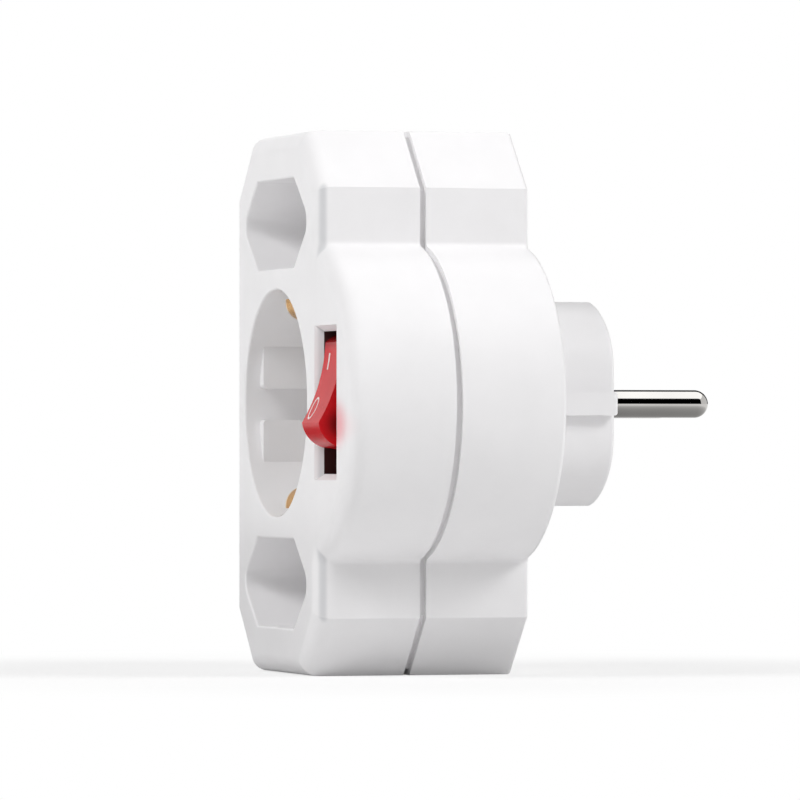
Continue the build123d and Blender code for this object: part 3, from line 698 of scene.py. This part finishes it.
@dataclass
class PlugSide:
    """The two plug pins, the earth brackets and their screw."""

    pins: tuple[str, ...] = ("live_pin", "neutral_pin")
    brackets: tuple[str, ...] = ("plug_earth_bracket", "socket_earth_bracket")
    screw: str = "earth_screw"

    def dress(self) -> None:
        """Dress the pins, the brackets and the screw."""
        nickel, brass = PIN.material(), EARTH_BRASS.material()
        for node in self.pins:
            dress(node, nickel)
        for node in self.brackets:
            dress(node, brass)
        dress(self.screw, bpy.data.materials[SCREW_ZINC.name])


@dataclass
class Contacts:
    """The spring contacts, busbars, straps and wire inside the housing."""

    sockets: tuple[str, ...] = ("round_socket", "upper_socket", "lower_socket")
    sides: tuple[str, ...] = ("live", "neutral")
    straps: tuple[str, ...] = ("live_feed_strap", "load_strap", "neutral_pin_strap")
    wire: str = "neutral_wire"

    def dress(self) -> None:
        """Dress every contact, busbar and strap, and the wire."""
        spring = CONTACT_BRASS.material()
        bar = BUSBAR_BRASS.material()
        strap = STRAP_BRASS.material()
        for side in self.sides:
            dress(f"{side}_busbar", bar)
            for socket in self.sockets:
                dress(f"{socket}_{side}_contact", spring)
        for node in self.straps:
            dress(node, strap)
        dress(self.wire, WIRE_PVC.material())


@dataclass
class RockerSwitch:
    """The rocker with its printed marks, its case and the contacts below it.

    The marks lie on the rocker's hollow face. Sizes are in millimetres; along is measured from
    the pivot towards the upper lip and out is measured square to the face.
    """

    middle_x: float = 30.85
    pivot_y: float = -45.9
    tilt_deg: float = 17.0
    lip: float = 7.05
    lip_height: float = 11.5
    sag: float = 0.9
    mark_rise: float = 0.03
    mark_depth: float = 0.06
    bar_width: float = 0.6
    bar_steps: int = 10
    bar_shift: float = -1.85
    ring_line: float = 0.336
    ring_steps: int = 64
    ring_shift: float = -2.3
    on_mark: tuple[float, float] = (2.5, 5.3)
    off_mark: tuple[float, float] = (-6.4, -2.3)
    off_width: float = 3.0
    terminals: tuple[str, ...] = ("common_terminal", "load_terminal", "neutral_terminal")
    buttons: tuple[str, ...] = ("blade_button", "load_button")

    def face_height(self, along: float) -> float:
        """Height of the hollow face above the pivot, at a place along the rocker."""
        radius = (self.lip**2 + self.sag**2) / (2 * self.sag)
        return self.lip_height - self.sag + radius - math.sqrt(radius**2 - along**2)

    def on_face(self, across: float, along: float) -> Vector:
        """The point of the rocker's face at a place across and along it, in metres."""
        lean = math.radians(self.tilt_deg)
        up = Vector((0.0, math.sin(lean), math.cos(lean)))
        out = Vector((0.0, -math.cos(lean), math.sin(lean)))
        height = self.face_height(along) + self.mark_rise
        pivot = Vector((self.middle_x + across, self.pivot_y, 0.0))
        return (pivot + up * along + out * height) * MM

    def lay_on_face(self, name: str, shape: bmesh.types.BMesh, ink: bpy.types.Material) -> None:
        """Lay a flat shape, drawn in millimetres across and along, on the face and make it solid.

        Args:
            name: The mark's name.
            shape: The flat shape.
            ink: Its material.
        """
        for vertex in shape.verts:
            vertex.co = self.on_face(vertex.co.x, vertex.co.y)
        shape.normal_update()
        bmesh.ops.solidify(shape, geom=shape.faces[:], thickness=self.mark_depth * MM)
        new_piece(name, shape, ink, "rocker")

    def build(self) -> None:
        """Build the bar and the ring printed on the face."""
        ink = MARK_INK.material()
        low, high = self.on_mark
        bar = bmesh.new()
        bmesh.ops.create_grid(bar, x_segments=1, y_segments=self.bar_steps, size=0.5)
        bmesh.ops.scale(bar, vec=(self.bar_width, high - low, 1), verts=bar.verts)
        bmesh.ops.translate(bar, vec=(self.bar_shift, (low + high) / 2, 0), verts=bar.verts)
        self.lay_on_face("rocker_mark_on", bar, ink)
        low, high = self.off_mark
        oval = bmesh.new()
        bmesh.ops.create_circle(oval, cap_ends=True, segments=self.ring_steps, radius=1.0)
        bmesh.ops.scale(oval, vec=(self.off_width / 2, (high - low) / 2, 1), verts=oval.verts)
        bmesh.ops.inset_region(
            oval,
            faces=oval.faces[:],
            thickness=self.ring_line,
            use_boundary=True,
            use_even_offset=True,
        )
        inner = [face for face in oval.faces if len(face.verts) > 4]
        bmesh.ops.delete(oval, geom=inner, context="FACES_ONLY")
        bmesh.ops.translate(oval, vec=(self.ring_shift, (low + high) / 2, 0), verts=oval.verts)
        self.lay_on_face("rocker_mark_off", oval, ink)

    def dress(self) -> None:
        """Dress the rocker, its case, the plunger, the blade and the terminals."""
        brass = bpy.data.materials[STRAP_BRASS.name]
        silver = BUTTON_SILVER.material()
        dress("rocker", ROCKER.material())
        dress("switch_case", CASE.material())
        dress("plunger", PLUNGER_ACETAL.material())
        dress("plunger_spring", SPRING_STEEL.material())
        dress("contact_blade", bpy.data.materials[CONTACT_BRASS.name])
        for node in self.terminals:
            dress(node, brass)
        for node in self.buttons:
            dress(node, silver)


@dataclass
class PilotLamp:
    """The neon lamp with its two electrodes, its resistor and their leads, in millimetres."""

    electrode_radius: float = 0.3
    electrode_rounding: float = 0.15
    electrode_length: float = 4.6
    electrode_gap: float = 1.2
    electrode_stagger: float = 0.5
    round_steps: int = 20
    rounding_steps: int = 3
    leads: tuple[str, ...] = ("lamp_link_lead", "lamp_load_lead", "lamp_neutral_lead")

    def build(self) -> None:
        """Build the two parallel electrodes in the middle of the lamp's glass."""
        low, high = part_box("neon_lamp")
        middle = (low + high) / 2
        metal = ELECTRODE_NICKEL.material()
        for name, side in (("lamp_electrode_left", -1), ("lamp_electrode_right", 1)):
            rod = bmesh.new()
            bmesh.ops.create_cone(
                rod,
                cap_ends=True,
                segments=self.round_steps,
                radius1=self.electrode_radius * MM,
                radius2=self.electrode_radius * MM,
                depth=self.electrode_length * MM,
            )
            rims = [
                edge
                for edge in rod.edges
                if abs(edge.verts[0].co.z - edge.verts[1].co.z) < LEVEL_TOLERANCE
            ]
            bmesh.ops.bevel(
                rod,
                geom=rims,
                offset=self.electrode_rounding * MM,
                affect="EDGES",
                segments=self.rounding_steps,
                profile=0.5,
                material=-1,
            )
            lying = Matrix.Rotation(math.pi / 2, 3, "Y")
            bmesh.ops.rotate(rod, cent=(0, 0, 0), matrix=lying, verts=rod.verts)
            shift = Vector((self.electrode_stagger, 0, self.electrode_gap / 2)) * side * MM
            bmesh.ops.translate(rod, vec=middle + shift, verts=rod.verts)
            new_piece(name, rod, metal, "housing")

    def dress(self) -> None:
        """Dress the glass, the resistor and the leads."""
        tin = LEAD_TIN.material()
        dress("neon_lamp", LAMP_GLASS.material())
        dress("lamp_resistor", RESISTOR_LACQUER.material())
        for node in self.leads:
            dress(node, tin)


@dataclass(frozen=True)
class Softbox:
    """One soft lamp that no surface mirrors: its place, its target, its size and its power."""

    name: str
    place: Triple
    target: Triple
    size: float
    watts: float

    def build(self) -> None:
        """Hang the lamp and turn it to its target."""
        lamp = bpy.data.lights.new(self.name, "AREA")
        lamp.shape = "SQUARE"
        lamp.size = self.size
        lamp.energy = self.watts
        holder = bpy.data.objects.new(self.name, lamp)
        holder.visible_glossy = False
        aim(holder, self.place, self.target)
        log.info("lamp %s: %.1f W", self.name, self.watts)


@dataclass(frozen=True)
class Card:
    """One flat card that shows in reflections alone, white or dark by its strength."""

    name: str
    low: Triple
    high: Triple
    strength: float

    def build(self) -> None:
        """Span the card between two opposite corners, with two of its edges along Y."""
        low, high = Vector(self.low), Vector(self.high)
        sheet = bmesh.new()
        corners = [
            sheet.verts.new(place)
            for place in (low, (low.x, high.y, low.z), high, (high.x, low.y, high.z))
        ]
        sheet.faces.new(corners)
        card = mesh_object(self.name, sheet)
        board, tree = empty_material(f"{self.name}_board")
        shade = add_node(
            tree, "ShaderNodeEmission", {"Color": linear(WHITE), "Strength": self.strength}
        )
        add_node(tree, "ShaderNodeOutputMaterial", links={"Surface": shade.outputs[0]})
        card.data.materials.append(board)
        card.visible_camera = False
        card.visible_diffuse = False
        card.visible_transmission = False
        card.visible_shadow = False


@dataclass
class Studio:
    """The pale floor, the white surround, the lamps, the cards and the camera."""

    floor_half: float = 6.0
    floor_colour: str = "#F4F4F4"
    floor_roughness: float = 0.5
    # The floor's brightness in reflections, near the foot and far off: painted shade, darker near
    # the foot.
    floor_mirrored: tuple[float, float] = (0.30, 1.0)
    mirror_reach: tuple[float, float] = (0.05, 0.26)
    surround: float = 0.32
    mirrored: float = 0.85
    shadow_share: float = 0.4
    shadow_middle: Triple = (0.0, -0.038, 0.0)
    shadow_reach: tuple[float, float] = (0.06, 0.13)
    camera_place: Triple = (1.0959, -0.3679, -0.0072)
    camera_target: Triple = (-0.0051, -0.0323, 0.0007)
    lens_mm: float = 298.5
    sensor_mm: float = 36.0
    clip_span: tuple[float, float] = (0.05, 50.0)
    lamps: tuple[Softbox, ...] = (
        Softbox("top_softbox", (0.0, -0.10, 0.90), (0.0, -0.02, 0.0), 0.9, 0.4),
        Softbox("side_softbox", (0.62, 0.60, 0.64), (0.0, -0.02, 0.0), 0.4, 5.5),
        Softbox("front_softbox", (0.22, -0.74, 0.66), (0.0, -0.02, 0.0), 0.4, 4.4),
        Softbox("far_side_softbox", (-0.78, 0.10, 0.50), (0.0, -0.02, 0.0), 0.6, 2.0),
    )
    cards: tuple[Card, ...] = (
        Card("white_card_above", (0.74, -0.3, 0.8), (-0.5, 0.9, 0.8), 1.7),
        Card("black_card_beside", (0.95, -0.3, 0.06), (0.95, 0.9, 0.92), 0.0),
        Card("black_card_behind", (-0.55, 0.1, 0.0), (-0.55, 0.9, 0.79), 0.02),
        Card("black_card_low", (-0.09, -0.14, -0.046), (-0.09, -0.0575, -0.022), 0.1),
    )

    @staticmethod
    def background_rays(tree: bpy.types.NodeTree) -> bpy.types.NodeSocket:
        """1 for camera and transmission rays, which see the white background."""
        path = add_node(tree, "ShaderNodeLightPath").outputs
        return add_node(
            tree,
            "ShaderNodeMath",
            links={0: path["Is Camera Ray"], 1: path["Is Transmission Ray"]},
            operation="MAXIMUM",
        ).outputs["Value"]

    @staticmethod
    def mirror_rays(tree: bpy.types.NodeTree) -> bpy.types.NodeSocket:
        """1 for rays that a surface has mirrored."""
        return add_node(tree, "ShaderNodeLightPath").outputs["Is Glossy Ray"]

    def build_world(self) -> None:
        """Make the surround: white where it is seen, softer in mirrors and as light."""
        world = bpy.data.worlds.new("white_surround")
        world.use_nodes = True
        tree = world.node_tree
        tree.nodes.clear()
        lit = add_node(
            tree,
            "ShaderNodeMath",
            {1: self.mirrored - self.surround, 2: self.surround},
            {0: self.mirror_rays(tree)},
            operation="MULTIPLY_ADD",
        ).outputs["Value"]
        strength = add_node(
            tree,
            "ShaderNodeMath",
            links={0: self.background_rays(tree), 1: lit},
            operation="MAXIMUM",
        ).outputs["Value"]
        sky = add_node(
            tree, "ShaderNodeBackground", {"Color": linear(WHITE)}, {"Strength": strength}
        )
        add_node(tree, "ShaderNodeOutputWorld", links={"Surface": sky.outputs[0]})
        bpy.context.scene.world = world

    def build_floor(self) -> None:
        """Lay the floor under the foot; it is white where it is seen and keeps the shadow, and in
        reflections it is a grey with painted shade that darkens towards the foot.
        """
        plane = bmesh.new()
        bmesh.ops.create_grid(plane, x_segments=1, y_segments=1, size=self.floor_half)
        bmesh.ops.translate(plane, vec=(0, 0, CAD_LOW.z), verts=plane.verts)
        floor = mesh_object("studio_floor", plane)
        paper, tree = empty_material("matt_white_paper")
        matt = add_node(
            tree,
            "ShaderNodeBsdfDiffuse",
            {"Color": linear(self.floor_colour), "Roughness": self.floor_roughness},
        )
        white = add_node(tree, "ShaderNodeEmission", {"Color": linear(WHITE), "Strength": 1.0})
        place = add_node(tree, "ShaderNodeTexCoord").outputs["Object"]
        away = add_node(
            tree,
            "ShaderNodeVectorMath",
            {1: (self.shadow_middle[0], self.shadow_middle[1], CAD_LOW.z)},
            {0: place},
            operation="DISTANCE",
        ).outputs["Value"]
        paleness = map_range(
            tree,
            away,
            self.shadow_reach,
            (1 - self.shadow_share, 1.0),
            interpolation_type="SMOOTHSTEP",
        )
        share = add_node(
            tree,
            "ShaderNodeMath",
            links={0: self.background_rays(tree), 1: paleness},
            operation="MULTIPLY",
        )
        mixed = add_node(
            tree,
            "ShaderNodeMixShader",
            links={0: share.outputs[0], 1: matt.outputs[0], 2: white.outputs[0]},
        )
        # Painted shade in reflections: the mirrored floor is a grey glow, darker towards the foot.
        mirrored = map_range(tree, away, self.mirror_reach, self.floor_mirrored)
        grey = add_node(
            tree, "ShaderNodeEmission", {"Color": linear(WHITE)}, {"Strength": mirrored}
        )
        whole = add_node(
            tree,
            "ShaderNodeMixShader",
            links={0: self.mirror_rays(tree), 1: mixed.outputs[0], 2: grey.outputs[0]},
        )
        add_node(tree, "ShaderNodeOutputMaterial", links={"Surface": whole.outputs[0]})
        floor.data.materials.append(paper)

    def build_camera(self) -> None:
        """Stand the camera where the photograph was taken from."""
        lens = bpy.data.cameras.new("photo_camera")
        lens.lens = self.lens_mm
        lens.sensor_width = self.sensor_mm
        lens.clip_start, lens.clip_end = self.clip_span
        camera = bpy.data.objects.new("photo_camera", lens)
        aim(camera, self.camera_place, self.camera_target)
        bpy.context.scene.camera = camera

    def build(self) -> None:
        """Build the whole studio and set the plain view transform."""
        self.build_world()
        self.build_floor()
        for fitting in (*self.lamps, *self.cards):
            fitting.build()
        self.build_camera()
        bpy.context.scene.view_settings.view_transform = "Standard"


def main() -> None:
    """Build and dress each sub-assembly, then the studio."""
    logging.basicConfig(level=logging.INFO, format="%(message)s")
    switch, lamp = RockerSwitch(), PilotLamp()
    steps: tuple[tuple[str, Callable[[], None]], ...] = (
        ("housing", Housing().dress),
        ("plug side", PlugSide().dress),
        ("contacts", Contacts().dress),
        ("switch marks", switch.build),
        ("switch", switch.dress),
        ("lamp electrodes", lamp.build),
        ("lamp", lamp.dress),
        ("studio", Studio().build),
    )
    for name, step in steps:
        step()
        log.info("%s done", name)


if __name__ == "__main__":
    main()
